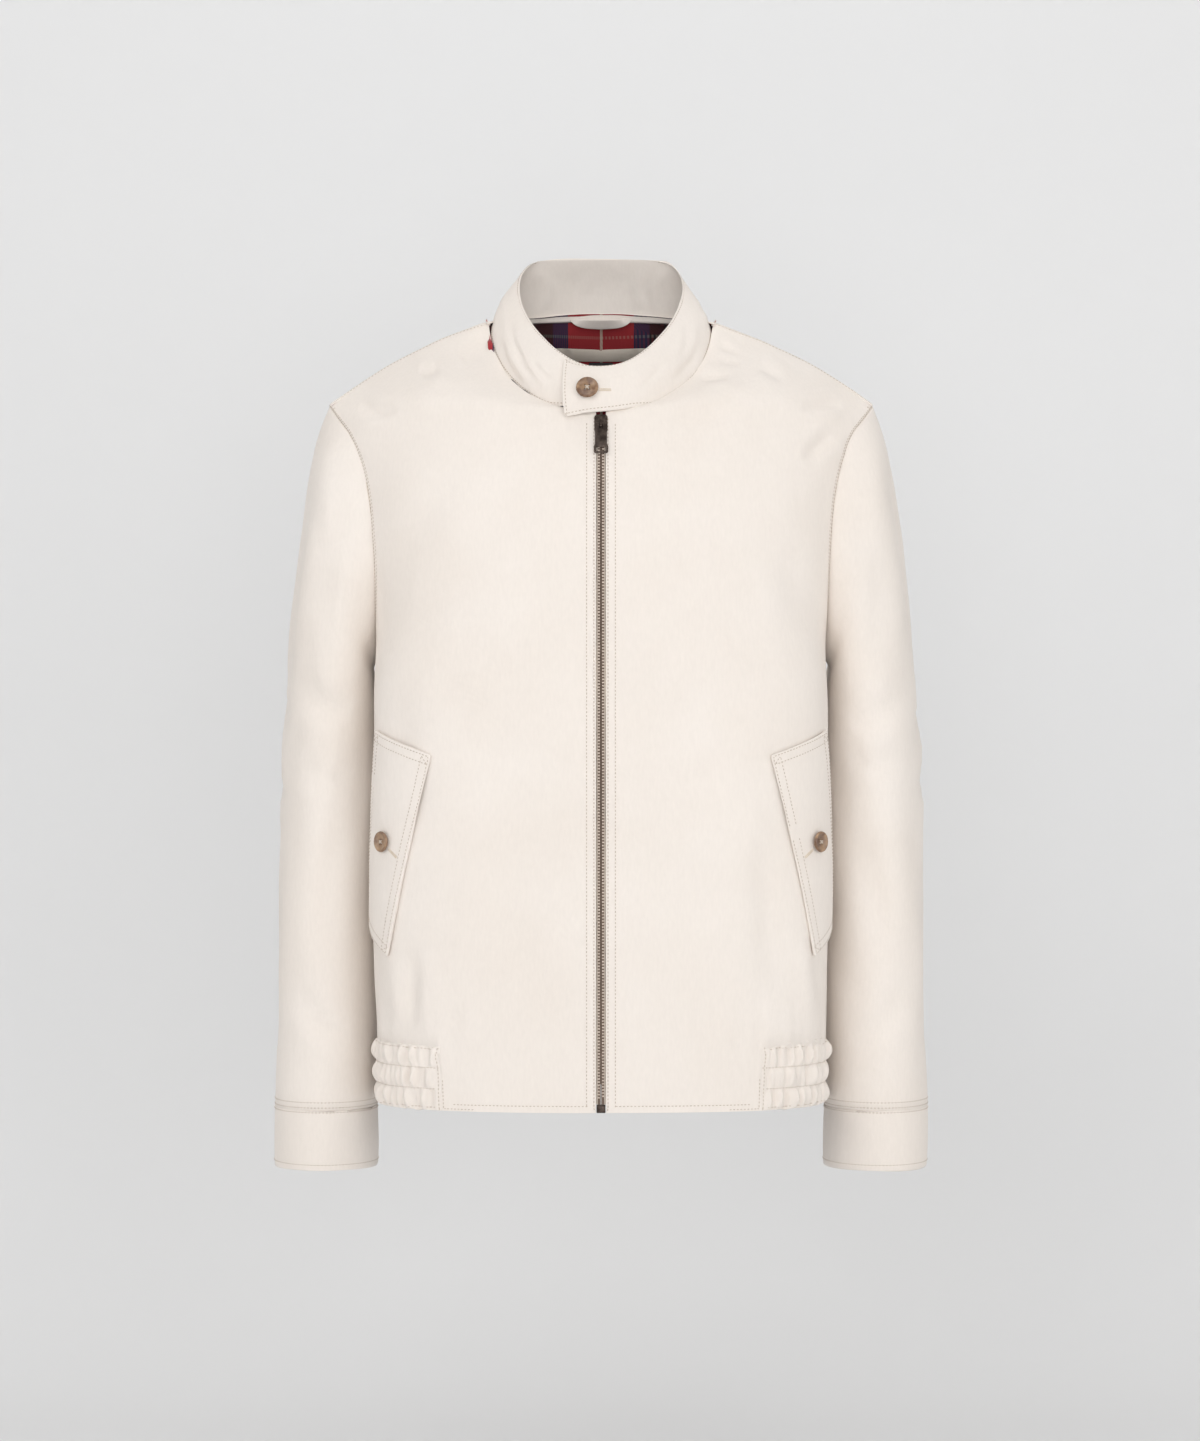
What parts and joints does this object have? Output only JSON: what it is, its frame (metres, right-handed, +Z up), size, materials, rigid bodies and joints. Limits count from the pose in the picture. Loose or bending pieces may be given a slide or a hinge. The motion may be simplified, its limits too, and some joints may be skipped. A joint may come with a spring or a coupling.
{
  "type": "harrington jacket",
  "caption": "Cream cotton harrington jacket, zipped, with a stand collar, a collar tab, elastic waist sides and buttoned pockets.",
  "frame": {"origin": "centre of the neck opening, level with the base of the collar at the top of the shoulders", "axes": "+X to the wearer's left, +Y to the wearer's back, +Z up from hem to collar"},
  "size_m": [0.5692, 0.2565, 0.7917],
  "materials": {
    "cotton": "matt woven cotton",
    "tartan_lining": "soft brushed check",
    "woven_label": "satin weave",
    "black_label": "satin weave",
    "zip_tape": "close herringbone tape",
    "horn": "mottled semi-gloss",
    "dark_brass": "dark antique"
  },
  "bodies": {
    "jacket": {"front_left": "cotton", "front_right": "cotton", "back": "cotton", "sleeve_left": "cotton", "sleeve_right": "cotton", "cuff_left": "cotton", "cuff_right": "cotton", "collar": "cotton", "pocket_flap_left": "cotton", "pocket_flap_right": "cotton", "hem_elastic_left": "cotton", "hem_elastic_right": "cotton", "hanging_loop": "cotton", "lining": "tartan_lining", "label": "woven_label", "size_label": "black_label", "collar_button": "horn", "pocket_button_left": "horn", "pocket_button_right": "horn", "zip_left": "zip_tape", "zip_right": "zip_tape", "zip_box": "dark_brass", "zip_slider": "dark_brass"},
    "pull_tab": {"zip_pull": "dark_brass"}
  },
  "joints": [
    {"name": "pull_tab_swing", "type": "hinge", "parent": "jacket", "child": "pull_tab", "pos_m": [0, -0.11093, -0.08003], "axis": [-1, 0, 0], "range_deg": [0, 150]}
  ]
}
